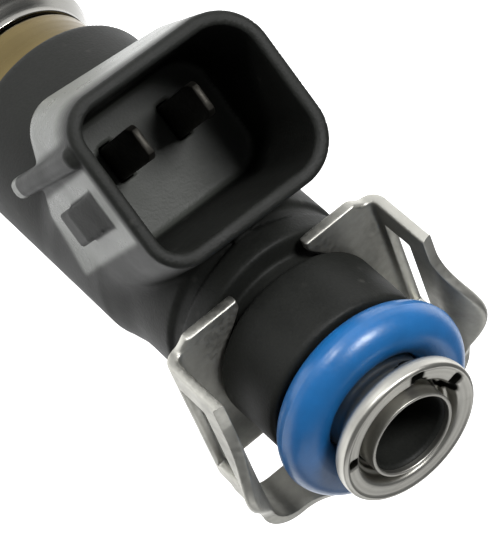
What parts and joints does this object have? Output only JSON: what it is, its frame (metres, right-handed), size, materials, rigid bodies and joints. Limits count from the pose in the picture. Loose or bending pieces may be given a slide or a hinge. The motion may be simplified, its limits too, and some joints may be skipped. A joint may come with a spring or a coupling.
{
  "type": "fuel injector",
  "caption": "Port fuel injector with a rolled-lip inlet, O-rings, an angled blade connector and a sheet-steel retainer clip; it meters fuel into an engine's intake.",
  "frame": {"origin": "middle of the orifice plate's flat outer face, at the nozzle's tip", "axes": "+Z along the injector's axis towards the fuel inlet; the connector leans out towards -Y; the latch lug is on the +X side"},
  "size_m": [0.0212, 0.032, 0.0602],
  "materials": {
    "bright_steel": "bright, drawn and rolled",
    "screen_mesh": "fine mesh on a moulded basket",
    "blue_rubber": "smooth, slightly glossy",
    "black_nylon": "satin glass-filled moulding",
    "tinned_brass": "tin plated",
    "clip_steel": "zinc plated, dull",
    "chromate_steel": "yellow chromate",
    "turned_steel": "turned stainless",
    "ball_steel": "polished",
    "natural_nylon": "satin",
    "copper_wire": "enamelled copper",
    "brown_rubber": "smooth"
  },
  "bodies": {
    "injector": {"inlet_tube": "bright_steel", "filter_collar": "bright_steel", "filter_screen": "screen_mesh", "upper_o_ring": "blue_rubber", "overmould": "black_nylon", "terminal_left": "tinned_brass", "terminal_right": "tinned_brass", "retainer_clip": "clip_steel", "solenoid_can": "chromate_steel", "flux_washer": "turned_steel", "coil_bobbin": "natural_nylon", "coil_winding": "copper_wire", "pole_piece": "turned_steel", "nonmagnetic_shell": "turned_steel", "adjusting_sleeve": "turned_steel", "return_spring": "turned_steel", "valve_seat": "turned_steel", "guide_ring": "turned_steel", "orifice_plate": "turned_steel", "nozzle_body": "turned_steel", "lower_o_ring": "brown_rubber", "seal_retainer": "black_nylon"},
    "valve": {"armature": "turned_steel", "valve_stem": "turned_steel", "valve_ball": "ball_steel"}
  },
  "joints": [
    {"name": "valve_lift", "type": "slide", "parent": "injector", "child": "valve", "axis": [0, 0, 1], "range_m": [0, 0.00008], "stiffness_N_per_m": 200, "springref_m": -0.001, "deforming": ["return_spring"]}
  ]
}
